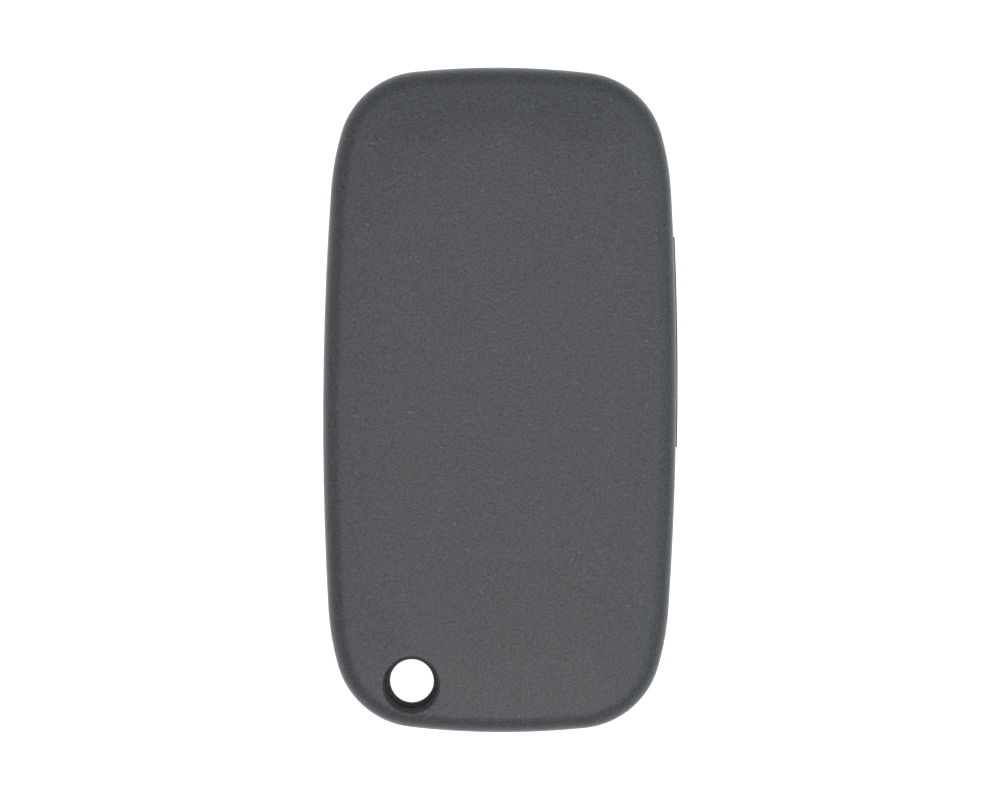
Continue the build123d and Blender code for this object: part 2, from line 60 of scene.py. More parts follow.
MM = 0.001
CHARCOAL = (0.0200, 0.0226, 0.0266)
CHARCOAL_CLOUD = (0.0268, 0.0293, 0.0336)
# The paler tint of the painted highlights on the grain's peaks.
CHARCOAL_PAINTED_HIGHLIGHT = (0.076, 0.080, 0.0852)
CHARCOAL_SPECK = (0.15, 0.155, 0.16)
CLOUD_SIZE = 5 * MM
PAINTED_HIGHLIGHT_SIZE = 0.26 * MM
PAINTED_HIGHLIGHT_BAND = (0.35, 0.65)
SPECK_SIZE = 0.42 * MM
SPECK_BAND = (0.805, 0.845)
GRAIN_SIZE = 0.38 * MM
GRAIN_DEPTH = 0.046 * MM
GRAIN_ROUGHNESS = (0.28, 0.36)
PATTERN_BAND = (0.3, 0.7)
RING_PLACE = [mount["pos_m"] for mount in frame["record"]["mounts"] if mount["name"] == "keyring_hole"][0]
RING_BORE = 2.98 * MM
RING_RUB = 0.1 * MM
RING_ROUGHNESS = 0.75
STEEP_BAND = (0.5, 0.9)
EDGE_SOFTNESS = 0.09 * MM
EDGE_STEPS = 2
SHARP_ANGLE = radians(32)
WELD_REACH = 0.001 * MM


def plain_finish(name, colour, roughness=0.5, metallic=0.0):
    """A material of one shader: what is even over the whole surface is set on its own sockets."""
    material = bpy.data.materials.new(name)
    material.use_nodes = True
    shader = material.node_tree.nodes["Principled BSDF"]
    shader.inputs["Base Color"].default_value = (*colour, 1)
    shader.inputs["Roughness"].default_value = roughness
    shader.inputs["Metallic"].default_value = metallic
    return material


def feed(material, name, pattern):
    """Lets one of the shader's sockets follow a pattern."""
    material.node_tree.links.new(pattern, material.node_tree.nodes["Principled BSDF"].inputs[name])


def mottle(material, size, stretch=(1, 1, 1), detail=2.0, rough=0.5):
    """A cloudy pattern fixed to the piece, with patches of about this size, drawn out by stretch."""
    nodes, links = material.node_tree.nodes, material.node_tree.links
    place = nodes.new("ShaderNodeTexCoord")
    scale = nodes.new("ShaderNodeMapping")
    scale.inputs["Scale"].default_value = [1 / (size * s) for s in stretch]
    noise = nodes.new("ShaderNodeTexNoise")
    noise.inputs["Scale"].default_value = 1.0
    noise.inputs["Detail"].default_value = detail
    noise.inputs["Roughness"].default_value = rough
    links.new(place.outputs["Object"], scale.inputs["Vector"])
    links.new(scale.outputs["Vector"], noise.inputs["Vector"])
    return noise.outputs["Fac"]


def between(material, pattern, band=PATTERN_BAND, limits=(0.0, 1.0)):
    """The pattern with one band of it spread over the limits, and held at them beyond the band."""
    spread = material.node_tree.nodes.new("ShaderNodeMapRange")
    for name, value in zip(("From Min", "From Max", "To Min", "To Max"), (*band, *limits)):
        spread.inputs[name].default_value = value
    material.node_tree.links.new(pattern, spread.inputs["Value"])
    return spread.outputs["Result"]


def mixed(material, pattern, first, second):
    """Two colours, or two numbers, mixed by a pattern; the first may be a socket."""
    mix = material.node_tree.nodes.new("ShaderNodeMix")
    in_colour = isinstance(second, tuple)
    mix.data_type = "RGBA" if in_colour else "FLOAT"
    if isinstance(first, bpy.types.NodeSocket):
        material.node_tree.links.new(first, mix.inputs["A"])
    else:
        mix.inputs["A"].default_value = (*first, 1) if in_colour else first
    mix.inputs["B"].default_value = (*second, 1) if in_colour else second
    material.node_tree.links.new(pattern, mix.inputs["Factor"])
    return mix.outputs["Result"]


def tint(material, pattern, colour, other):
    """Gives the material a base colour mixed by a pattern, and returns it to be mixed further."""
    colours = mixed(material, pattern, colour, other)
    feed(material, "Base Color", colours)
    return colours


def vary_roughness(material, pattern, limits):
    """Lets the roughness follow a pattern between two limits."""
    feed(material, "Roughness", between(material, pattern, limits=limits))


def relief(material, pattern, depth):
    """Raises the surface by a pattern."""
    bump = material.node_tree.nodes.new("ShaderNodeBump")
    bump.inputs["Distance"].default_value = depth
    material.node_tree.links.new(pattern, bump.inputs["Height"])
    feed(material, "Normal", bump.outputs["Normal"])


def bore_wall(material, centre, radius, fade):
    """1 on the upright walls within a radius of an upright axis, falling to 0 over a further distance."""
    nodes, links = material.node_tree.nodes, material.node_tree.links
    place = nodes.new("ShaderNodeTexCoord")
    flat = nodes.new("ShaderNodeVectorMath")
    flat.operation = "MULTIPLY"
    flat.inputs[1].default_value = (1, 1, 0)
    away = nodes.new("ShaderNodeVectorMath")
    away.operation = "DISTANCE"
    away.inputs[1].default_value = (centre[0], centre[1], 0)
    links.new(place.outputs["Object"], flat.inputs[0])
    links.new(flat.outputs["Vector"], away.inputs[0])
    inside = between(material, away.outputs["Value"], (radius, radius + fade), (1, 0))
    facing = nodes.new("ShaderNodeVectorMath")
    facing.operation = "DOT_PRODUCT"
    facing.inputs[1].default_value = (0, 0, 1)
    links.new(place.outputs["Normal"], facing.inputs[0])
    steep = between(material, facing.outputs["Value"], STEEP_BAND, (1, 0))
    both = nodes.new("ShaderNodeMath")
    both.operation = "MULTIPLY"
    links.new(inside, both.inputs[0])
    links.new(steep, both.inputs[1])
    return both.outputs[0]


def dress(node, material, softness=EDGE_SOFTNESS):
    """Gives a node its finish, and breaks its sharp edges as a moulding or a deburred part has them."""
    piece = frame["nodes"][node]
    piece.data.materials.clear()
    piece.data.materials.append(material)
    if softness:
        weld = piece.modifiers.new("joined_faces", "WELD")
        weld.merge_threshold = WELD_REACH
        edge = piece.modifiers.new("broken_edges", "BEVEL")
        edge.width = softness
        edge.segments = EDGE_STEPS
        edge.angle_limit = SHARP_ANGLE
        even = piece.modifiers.new("even_faces", "WEIGHTED_NORMAL")
        even.keep_sharp = False


def charcoal_grain():
    """Charcoal plastic off a spark-eroded tool: even grain, faint clouds, painted highlights on the grain's peaks,
    a few pale specks, dull bores.
    """
    material = plain_finish("charcoal_grain", CHARCOAL)
    clouds = between(material, mottle(material, CLOUD_SIZE))
    base = tint(material, clouds, CHARCOAL, CHARCOAL_CLOUD)
    # Painted highlight: a paler tint on the fine grain's peaks stands in for their glints.
    painted_highlights = between(material, mottle(material, PAINTED_HIGHLIGHT_SIZE, detail=1, rough=0.7), PAINTED_HIGHLIGHT_BAND)
    base = tint(material, painted_highlights, base, CHARCOAL_PAINTED_HIGHLIGHT)
    specks = between(material, mottle(material, SPECK_SIZE, detail=0), SPECK_BAND)
    tint(material, specks, base, CHARCOAL_SPECK)
    grain = mottle(material, GRAIN_SIZE, detail=3, rough=0.75)
    shine = between(material, grain, limits=GRAIN_ROUGHNESS)
    bore = bore_wall(material, RING_PLACE, RING_BORE, RING_RUB)
    feed(material, "Roughness", mixed(material, bore, shine, RING_ROUGHNESS))
    relief(material, grain, GRAIN_DEPTH)
    return material


shell_finish = charcoal_grain()
dress("back_cover", shell_finish)


# Button side
# The front half of the case, moulded in the same plastic. It carries the lock ring, the blade bay and the
# key ring boss, and two low lips: one under the slot, where the thumb finds the blade, one at the pivot end.

dress("front_housing", shell_finish)


# Blade carrier
# The hub that turns in both halves, with the neck that grips the blade, moulded in one in glass-filled
# black nylon. It comes off a smoother tool, so it shines a little more than the case.

NYLON = (0.018, 0.0185, 0.0195)
NYLON_FIBRE = (0.03, 0.031, 0.033)
FIBRE_SIZE = 0.4 * MM
FIBRE_BAND = (0.35, 0.75)
HUB_SKIN = 0.12 * MM
HUB_SKIN_DEPTH = 0.006 * MM
HUB_ROUGHNESS = (0.34, 0.46)


def hub_nylon():
    """Dark filled nylon with short pale fibres faintly showing."""
    material = plain_finish("hub_nylon", NYLON)
    fibres = mottle(material, FIBRE_SIZE, stretch=(1, 6, 1))
    tint(material, between(material, fibres, FIBRE_BAND), NYLON, NYLON_FIBRE)
    skin = mottle(material, HUB_SKIN)
    vary_roughness(material, skin, HUB_ROUGHNESS)
    relief(material, skin, HUB_SKIN_DEPTH)
    return material


dress("blade_carrier", hub_nylon())


# Key blade and its pin
# A blank blade of nickel-plated steel with a groove milled down each face. A tang goes into the neck,
# and a ground pin pressed through both holds it.

NICKEL = (0.62, 0.605, 0.57)
NICKEL_MARK = (0.52, 0.505, 0.475)
MILL_MARK = 0.05 * MM
MILL_DEPTH = 0.003 * MM
MILL_ROUGHNESS = (0.2, 0.36)
STEEL = (0.56, 0.56, 0.55)
GRIND_MARK = 0.04 * MM
GRIND_DEPTH = 0.002 * MM
GRIND_ROUGHNESS = (0.24, 0.38)
PIN_EDGE = 0.05 * MM


def milled_nickel():
    """Plated steel with the fine lengthwise marks of the mill."""
    material = plain_finish("milled_nickel", NICKEL, metallic=1.0)
    marks = mottle(material, MILL_MARK, stretch=(1, 60, 1), detail=3)
    tint(material, between(material, marks), NICKEL, NICKEL_MARK)
    vary_roughness(material, marks, MILL_ROUGHNESS)
    relief(material, marks, MILL_DEPTH)
    return material


def ground_steel():
    """Bare ground steel with a fine even lay."""
    material = plain_finish("ground_steel", STEEL, metallic=1.0)
    lay = mottle(material, GRIND_MARK, stretch=(1, 1, 20))
    vary_roughness(material, lay, GRIND_ROUGHNESS)
    relief(material, lay, GRIND_DEPTH)
    return material


dress("key_blade", milled_nickel())
dress("blade_pin", ground_steel(), softness=PIN_EDGE)


# Release button
# The round push button that lets the blade fly out, moulded and bright plated, with a shallow dimple
# for the thumb. Its skirt slides in the hub, and two lugs catch in the lock ring.

CHROMIUM = (0.55, 0.556, 0.554)
PLATE_WAVE = 1.6 * MM
PLATE_WAVE_DEPTH = 0.004 * MM
PLATE_SMEAR = 0.3 * MM
PLATE_ROUGHNESS = (0.08, 0.18)
BUTTON_EDGE = 0.12 * MM


def bright_plate():
    """Chromium over plastic: bright, with the soft waviness of the moulding under it."""
    material = plain_finish("bright_plate", CHROMIUM, metallic=1.0)
    vary_roughness(material, mottle(material, PLATE_SMEAR), PLATE_ROUGHNESS)
    relief(material, mottle(material, PLATE_WAVE, detail=1), PLATE_WAVE_DEPTH)
    return material


dress("release_button", bright_plate(), softness=BUTTON_EDGE)


# Flip spring
# Drawn spring steel wound into an open coil. It lifts the release button and turns the hub: its lower
# end stands in the button, and its upper end lies across the fork of the cover's post.

SPRING_WIRE = 0.62 * MM
SPRING_RADIUS = 3.19 * MM
SPRING_TURNS = 4.25
SPRING_FOOT = 1.3 * MM
SPRING_TAIL = 1.82 * MM
SPRING_STEPS = 40
SPRING_SIDES = 12
BEND_RINGS = 8
DRAWN_STEEL = (0.36, 0.355, 0.35)
DRAWN_STEEL_MARK = (0.27, 0.265, 0.26)
DRAWN_ROUGHNESS = 0.34
DRAW_MARK = 0.1 * MM
DRAW_DEPTH = 0.003 * MM


def shape_tree(name, sizes):
    """An empty geometry tree with one named input for each size; returns it and those inputs."""
    tree = bpy.data.node_groups.new(name, "GeometryNodeTree")
    for size in sizes:
        tree.interface.new_socket(size, in_out="INPUT", socket_type="NodeSocketFloat")
    tree.interface.new_socket("Geometry", in_out="OUTPUT", socket_type="NodeSocketGeometry")
    return tree, tree.nodes.new("NodeGroupInput").outputs


def put(tree, kind, inputs, **settings):
    """Adds a node with its settings, feeds each named input by a socket or a value; returns its outputs."""
    node = tree.nodes.new(kind)
    for name, value in settings.items():
        setattr(node, name, value)
    for name, value in inputs.items():
        if isinstance(value, bpy.types.NodeSocket):
            tree.links.new(value, node.inputs[name])
        else:
            node.inputs[name].default_value = value
    return node.outputs


def number(tree, operation, first, second):
    """Two numbers added, multiplied and so on; each is a socket or a value."""
    return put(tree, "ShaderNodeMath", {0: first, 1: second}, operation=operation)[0]


def point(tree, x=0.0, y=0.0, z=0.0):
    """A place from its three numbers; each is a socket or a value."""
    return put(tree, "ShaderNodeCombineXYZ", {"X": x, "Y": y, "Z": z})[0]


def together(tree, *shapes):
    """Several shapes as one."""
    join = tree.nodes.new("GeometryNodeJoinGeometry")
    for shape in shapes:
        tree.links.new(shape, join.inputs["Geometry"])
    return join.outputs["Geometry"]


def wire_along(tree, curve, thickness, sides):
    """Round wire of a thickness along a curve, closed at its ends."""
    ring = put(tree, "GeometryNodeCurvePrimitiveCircle",
               {"Resolution": sides, "Radius": number(tree, "MULTIPLY", thickness, 0.5)})["Curve"]
    return put(tree, "GeometryNodeCurveToMesh",
               {"Curve": curve, "Profile Curve": ring, "Fill Caps": True})["Mesh"]


def in_scene(name, data):
    """A new object of a name, put in the scene."""
    thing = bpy.data.objects.new(name, data)
    bpy.context.scene.collection.objects.link(thing)
    return thing


def grown(tree, shape, name, sizes, material, place):
    """Ends a tree in a smooth plain mesh of one material, grows a piece by it and sets it in place."""
    smooth = put(tree, "GeometryNodeSetShadeSmooth", {"Geometry": shape})[0]
    plain = put(tree, "GeometryNodeRealizeInstances", {"Geometry": smooth})[0]
    finished = put(tree, "GeometryNodeSetMaterial", {"Geometry": plain, "Material": material})[0]
    tree.links.new(finished, tree.nodes.new("NodeGroupOutput").inputs["Geometry"])
    piece = in_scene(name, bpy.data.meshes.new(name))
    grow = piece.modifiers.new("grow", "NODES")
    grow.node_group = tree
    for item in tree.interface.items_tree:
        if item.in_out == "INPUT":
            grow[item.identifier] = float(sizes[item.name])
    evaluated = piece.evaluated_get(bpy.context.evaluated_depsgraph_get())
    mesh = bpy.data.meshes.new_from_object(evaluated)
    piece.modifiers.clear()
    mesh.transform(Matrix.Translation(place))
    piece.data = mesh
    return piece


def spring_shape():
    """A coil about Z from Low to High, with an upright foot under its start and a tail across its top."""
    tree, size = shape_tree("coil_spring", ("Wire", "Radius", "Turns", "Low", "High", "Foot", "Tail"))
    start = point(tree, x=size["Radius"], z=size["Low"])
    foot_end = point(tree, x=size["Radius"], z=number(tree, "SUBTRACT", size["Low"], size["Foot"]))
    stop = point(tree, y=size["Radius"], z=size["High"])
    tail_end = point(tree, y=number(tree, "MULTIPLY", size["Tail"], -1), z=size["High"])
    coil = put(tree, "GeometryNodeCurveSpiral", {
        "Resolution": SPRING_STEPS, "Rotations": size["Turns"], "Start Radius": size["Radius"],
        "End Radius": size["Radius"], "Height": number(tree, "SUBTRACT", size["High"], size["Low"]),
        "Reverse": True,
    })["Curve"]
    raised = put(tree, "GeometryNodeTransform",
                 {"Geometry": coil, "Translation": point(tree, z=size["Low"])})[0]
    foot = put(tree, "GeometryNodeCurvePrimitiveLine", {"Start": foot_end, "End": start})[0]
    tail = put(tree, "GeometryNodeCurvePrimitiveLine", {"Start": stop, "End": tail_end})[0]
    wire = wire_along(tree, together(tree, raised, foot, tail), size["Wire"], SPRING_SIDES)
    bends = put(tree, "GeometryNodeMeshLine", {"Count": 2, "Start Location": start, "Offset": stop},
                mode="END_POINTS")[0]
    ball = put(tree, "GeometryNodeMeshUVSphere", {
        "Segments": SPRING_SIDES, "Rings": BEND_RINGS, "Radius": number(tree, "MULTIPLY", size["Wire"], 0.5),
    })["Mesh"]
    elbows = put(tree, "GeometryNodeInstanceOnPoints", {"Points": bends, "Instance": ball})[0]
    return tree, together(tree, wire, elbows)


def drawn_steel():
    """Oil-tempered wire, grey, with marks drawn out along it."""
    material = plain_finish("drawn_steel", DRAWN_STEEL, DRAWN_ROUGHNESS, metallic=1.0)
    lay = mottle(material, DRAW_MARK, stretch=(4, 4, 1))
    tint(material, between(material, lay), DRAWN_STEEL, DRAWN_STEEL_MARK)
    relief(material, lay, DRAW_DEPTH)
    return material


joints = {joint["name"]: joint for joint in frame["joints"]}
spring_low, spring_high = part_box("flip_spring")
axis_x, axis_y, _ = joints["blade_flip"]["pos_m"]
tree, shape = spring_shape()
spring = grown(tree, shape, "round_flip_spring", {
    "Wire": SPRING_WIRE,
    "Radius": SPRING_RADIUS,
    "Turns": SPRING_TURNS,
    "Low": spring_low[2] + SPRING_FOOT,
    "High": spring_high[2] - SPRING_WIRE / 2,
    "Foot": SPRING_FOOT,
    "Tail": SPRING_TAIL,
}, drawn_steel(), (axis_x, axis_y, 0))
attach(spring, "blade")
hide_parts("flip_spring")
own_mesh(spring)


# Keys
# Three keys moulded in soft-touch black plastic, which stand in their openings in the button side. Each
# has a generic sign printed on it: a shut padlock, an open padlock and a car with its boot lid up.

KEY_BLACK = (0.020, 0.0205, 0.0215)
KEY_SKIN = 0.1 * MM
KEY_SKIN_DEPTH = 0.004 * MM
KEY_ROUGHNESS = (0.56, 0.7)
KEY_EDGE = 0.15 * MM
PRINT_GREY = (0.62, 0.63, 0.64)
PRINT_WORN = (0.5, 0.51, 0.52)
PRINT_ROUGHNESS = 0.55
PRINT_WEAR = 0.25 * MM
PRINT_THICKNESS = 0.02 * MM
PRINT_SUNK = 0.25
CIRCLE_STEPS = 15


def soft_touch():
    """Soft-touch plastic: very dark and dull, with the faintest skin."""
    material = plain_finish("soft_touch", KEY_BLACK)
    skin = mottle(material, KEY_SKIN)
    vary_roughness(material, skin, KEY_ROUGHNESS)
    relief(material, skin, KEY_SKIN_DEPTH)
    return material


def screen_ink():
    """Pale grey ink, a little worn."""
    material = plain_finish("screen_ink", PRINT_GREY, PRINT_ROUGHNESS)
    tint(material, between(material, mottle(material, PRINT_WEAR)), PRINT_GREY, PRINT_WORN)
    return material


def arc(x, y, radius, start, stop, steps=8):
    """Points along part of a circle, between two angles in degrees."""
    turns = [radians(start + (stop - start) * k / steps) for k in range(steps + 1)]
    return [(x + radius * cos(turn), y + radius * sin(turn)) for turn in turns]


def add_plate(shape, outlines, low, high):
    """Adds a flat plate between two heights to a shape; an outline inside another is a hole."""
    curve = bpy.data.curves.new("outlines", "CURVE")
    curve.dimensions = "2D"
    curve.fill_mode = "BOTH"
    curve.extrude = (high - low) / 2
    for outline in outlines:
        line = curve.splines.new("POLY")
        line.points.add(len(outline) - 1)
        line.use_cyclic_u = True
        for corner, (x, y) in zip(line.points, outline):
            corner.co = (x, y, 0, 1)
    drawn = bpy.data.objects.new("outlines", curve)
    mesh = bpy.data.meshes.new_from_object(drawn)
    bpy.data.objects.remove(drawn)
    mesh.transform(Matrix.Translation((0, 0, (low + high) / 2)))
    plate = bmesh.new()
    plate.from_mesh(mesh)
    bmesh.ops.remove_doubles(plate, verts=plate.verts, dist=WELD_REACH)
    bmesh.ops.recalc_face_normals(plate, faces=plate.faces)
    plate.to_mesh(mesh)
    plate.free()
    shape.from_mesh(mesh)


def made(shape, name, material, body):
    """Ends a shape as a piece of one material that rides on a body."""
    mesh = bpy.data.meshes.new(name)
    shape.to_mesh(mesh)
    shape.free()
    mesh.materials.append(material)
    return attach(in_scene(name, mesh), body)


def printed_sign(use, outlines, ink):
    """A flat printed sign in the middle of a key's face, drawn in millimetres as seen from the front."""
    key_low, key_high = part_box(use + "_button")
    x, y = [(key_low[k] + key_high[k]) / 2 for k in (0, 1)]
    placed = [[(x - across * MM, y + up * MM) for across, up in outline] for outline in outlines]
    back = key_low[2] + PRINT_SUNK * PRINT_THICKNESS
    shape = bmesh.new()
    add_plate(shape, placed, back - PRINT_THICKNESS, back)
    made(shape, use + "_sign", ink, use + "_key")


def padlock(shift):
    """A padlock's outlines: body, keyhole, and a shackle moved sideways by a shift."""
    side, top, bottom, corner = 1.4, 0.2, -1.7, 0.35
    outside, inside, bend, foot = 1.25, 0.75, 1.1, 0.65
    body = []
    for x, y, start in ((side, top, 0), (-side, top, 90), (-side, bottom, 180), (side, bottom, 270)):
        body += arc(x, y, corner, start, start + 90)
    keyhole = arc(0, (top + bottom) / 2, 0.4, 0, 345, CIRCLE_STEPS)
    shackle = [(shift + outside, foot), *arc(shift, bend, outside, 0, 180), (shift - outside, foot),
               (shift - inside, foot), *arc(shift, bend, inside, 180, 0), (shift + inside, foot)]
    return [body, keyhole, shackle]


def open_boot():
    """A car's outlines seen from the side, with its wheels, its window and its boot lid up."""
    rear, front = -1.55, 1.65
    sill = [(-2.7, -0.9), *arc(rear, -0.9, 0.6, 180, 0), *arc(front, -0.9, 0.6, 180, 0), (2.75, -0.9)]
    roof = [(2.7, -0.15), (1.75, 0.15), (0.95, 1.05), (-0.95, 1.05), (-1.75, 0.15), (-2.7, 0.05)]
    window = [(-0.75, 0.8), (0.75, 0.8), (1.25, 0.2), (-1.25, 0.2)]
    lid = [(-1.2, 1.15), (-1.05, 1.4), (-2.45, 2.1), (-2.6, 1.85)]
    wheels = [arc(x, -0.95, 0.42, 0, 345, CIRCLE_STEPS) for x in (rear, front)]
    return [sill + roof, window, lid, *wheels]


signs = {"lock": padlock(0), "unlock": padlock(2), "boot": open_boot()}
key_finish = soft_touch()
ink = screen_ink()
for use, outlines in signs.items():
    dress(use + "_button", key_finish, softness=KEY_EDGE)
    printed_sign(use, outlines, ink)


# Rubber mat
# One sheet of grey silicone behind the keys, with a rim that seals on the board. Over each switch it
# has a pad with a nub and a thin web round it, which the key's post squeezes on to the plunger.

MAT_SHEET = 0.6 * MM
MAT_RIM = 0.9 * MM
PAD_RADIUS = 2.3 * MM
PAD_LIP = 0.25 * MM
PAD_WEB = 0.3 * MM
PAD_SIDES = 32
NUB_RADIUS = 1.3 * MM
NUB_FOOT = 0.15 * MM
NUB_GAP = 0.05 * MM
SILICONE = (0.11, 0.115, 0.12)
SILICONE_BLOOM = (0.16, 0.165, 0.17)
SILICONE_ROUGHNESS = 0.7
BLOOM_SIZE = 1.2 * MM
BLOOM_BAND = (0.35, 0.7)
SILICONE_SKIN = 0.1 * MM
SILICONE_SKIN_DEPTH = 0.004 * MM


def silicone():
    """Dull moulded silicone with a dusty bloom."""
    material = plain_finish("silicone", SILICONE, SILICONE_ROUGHNESS)
    bloom = between(material, mottle(material, BLOOM_SIZE), BLOOM_BAND)
    tint(material, bloom, SILICONE, SILICONE_BLOOM)
    relief(material, mottle(material, SILICONE_SKIN), SILICONE_SKIN_DEPTH)
    return material


def rectangle(low, high, inset=0.0):
    """The corners of a rectangle, drawn in by an inset."""
    left, front, right, back = low[0] + inset, low[1] + inset, high[0] - inset, high[1] - inset
    return [(left, front), (right, front), (right, back), (left, back)]


def circle(x, y, radius, steps):
    """Points all round a circle."""
    return arc(x, y, radius, 0, 360, steps)[:-1]


def turned(rings, centre):
    """A closed shape turned about an upright axis from the radius and height of each of its rings."""
    shape = bmesh.new()
    rows = [[shape.verts.new((x, y, height)) for x, y in circle(*centre, radius, PAD_SIDES)]
            for radius, height in rings]
    shape.faces.new(rows[0][::-1])
    shape.faces.new(rows[-1])
    for lower, upper in zip(rows, rows[1:]):
        for k in range(PAD_SIDES):
            shape.faces.new((lower[k - 1], lower[k], upper[k], upper[k - 1]))
    return shape


rubber = silicone()
mat_low, mat_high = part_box("keypad_mat")
face, sheet_top = mat_low[2], mat_low[2] + MAT_SHEET
pad_outlines = []
for use in signs:
    plunger_low, plunger_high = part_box(use + "_plunger")
    centre = [(plunger_low[k] + plunger_high[k]) / 2 for k in (0, 1)]
    pad = made(turned((
        (PAD_RADIUS, face),
        (PAD_RADIUS, sheet_top),
        (PAD_RADIUS - PAD_LIP, sheet_top),
        (PAD_RADIUS - PAD_LIP, face + PAD_WEB),
        (NUB_RADIUS + NUB_FOOT, face + PAD_WEB),
        (NUB_RADIUS, plunger_low[2] - NUB_GAP),
    ), centre), use + "_mat_pad", rubber, "housing")
    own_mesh(pad)
    pad_outlines.append(circle(*centre, PAD_RADIUS, PAD_SIDES))

mat_shape = bmesh.new()
mat_edge = rectangle(mat_low, mat_high)
add_plate(mat_shape, [mat_edge, *pad_outlines], face, sheet_top)
add_plate(mat_shape, [mat_edge, rectangle(mat_low, mat_high, MAT_RIM)], sheet_top, mat_high[2])
mat = made(mat_shape, "rubber_mat", rubber, "housing")
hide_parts("keypad_mat")


# Switches
# A push switch under each key, soldered to the board: a dark plastic base, a stamped steel cover folded
# over it, and a pale plunger that the key pushes through the mat.

MOULD_SKIN = 0.08 * MM
MOULD_SKIN_DEPTH = 0.003 * MM
SWITCH_BLACK = (0.03, 0.03, 0.032)
SWITCH_ROUGHNESS = 0.5
PLUNGER_CREAM = (0.5, 0.46, 0.36)
PLUNGER_ROUGHNESS = 0.45


def moulded(name, colour, roughness):
    """A small plain moulding with a faint skin."""
    material = plain_finish(name, colour, roughness)
    relief(material, mottle(material, MOULD_SKIN), MOULD_SKIN_DEPTH)
    return material


base_finish = moulded("switch_black", SWITCH_BLACK, SWITCH_ROUGHNESS)
plunger_finish = moulded("plunger_cream", PLUNGER_CREAM, PLUNGER_ROUGHNESS)
cover_finish = ground_steel()
for use in signs:
    dress(use + "_switch_base", base_finish, softness=0)
    dress(use + "_switch_plate", cover_finish, softness=0)
    dress(use + "_plunger", plunger_finish, softness=0)


# Board, cell and what is soldered on
# A green lacquered glass-fibre board that rests on three stands and the mat's rim. The cell lies on it
# between two nickel strips, and nearer the pivot are the chip, its crystal, a ferrite aerial and small parts.

LACQUER = (0.010, 0.062, 0.024)
LACQUER_CLOUD = (0.014, 0.078, 0.03)
LACQUER_ROUGHNESS = 0.3
LACQUER_CLOUD_SIZE = 6 * MM
PATH_GREEN = (0.022, 0.115, 0.045)
PATH_LENGTH = 2.9 * MM
PATH_PITCH = 0.9 * MM
PATH_WIDTH = 0.12 * MM
PATH_STAGGER = 0.37
PATH_RISE = 0.02 * MM
COPPER = (0.62, 0.27, 0.1)
COPPER_DARK = (0.5, 0.2, 0.07)
COPPER_ROUGHNESS = 0.3
COPPER_CLOUD_SIZE = 0.6 * MM
WINDING_WIRE = 0.14 * MM
WINDING_CORNER = 0.3 * MM
WINDING_CORNER_STEPS = 4
WINDING_SIDES = 6
CELL_EDGE = 0.2 * MM


def board_lacquer():
    """Green lacquer over copper, whose thin square-cornered paths show as a paler green."""
    material = plain_finish("board_lacquer", LACQUER, LACQUER_ROUGHNESS)
    nodes, links = material.node_tree.nodes, material.node_tree.links
    place = nodes.new("ShaderNodeTexCoord")
    paths = nodes.new("ShaderNodeTexBrick")
    paths.offset = PATH_STAGGER
    for name, value in (("Scale", 1), ("Brick Width", PATH_LENGTH), ("Row Height", PATH_PITCH),
                        ("Mortar Size", PATH_WIDTH / 2), ("Mortar Smooth", 0)):
        paths.inputs[name].default_value = value
    links.new(place.outputs["Object"], paths.inputs["Vector"])
    clouds = between(material, mottle(material, LACQUER_CLOUD_SIZE))
    base = tint(material, clouds, LACQUER, LACQUER_CLOUD)
    tint(material, paths.outputs["Fac"], base, PATH_GREEN)
    relief(material, paths.outputs["Fac"], PATH_RISE)
    return material


def copper_wire():
    """Lacquered copper wire, a little darker in places."""
    material = plain_finish("copper_wire", COPPER, COPPER_ROUGHNESS, metallic=1.0)
    tint(material, between(material, mottle(material, COPPER_CLOUD_SIZE)), COPPER, COPPER_DARK)
    return material


def winding_shape():
    """Square turns of wire with rounded corners, side by side along Y."""
    tree, size = shape_tree("square_winding", ("Wire", "Turns", "Width", "Height", "Corner"))
    square = put(tree, "GeometryNodeCurvePrimitiveQuadrilateral", {
        "Width": number(tree, "SUBTRACT", size["Width"], size["Wire"]),
        "Height": number(tree, "SUBTRACT", size["Height"], size["Wire"]),
    })["Curve"]
    upright = put(tree, "GeometryNodeTransform", {"Geometry": square, "Rotation": (radians(90), 0, 0)})[0]
    rounded = put(tree, "GeometryNodeFilletCurve",
                  {"Curve": upright, "Radius": size["Corner"], "Count": WINDING_CORNER_STEPS}, mode="POLY")[0]
    turn = wire_along(tree, rounded, size["Wire"], WINDING_SIDES)
    half_run = number(tree, "MULTIPLY", number(tree, "SUBTRACT", size["Turns"], 1), -0.5)
    first = point(tree, y=number(tree, "MULTIPLY", half_run, size["Wire"]))
    row = put(tree, "GeometryNodeMeshLine", {
        "Count": size["Turns"], "Start Location": first, "Offset": point(tree, y=size["Wire"]),
    })[0]
    return tree, put(tree, "GeometryNodeInstanceOnPoints", {"Points": row, "Instance": turn})[0]


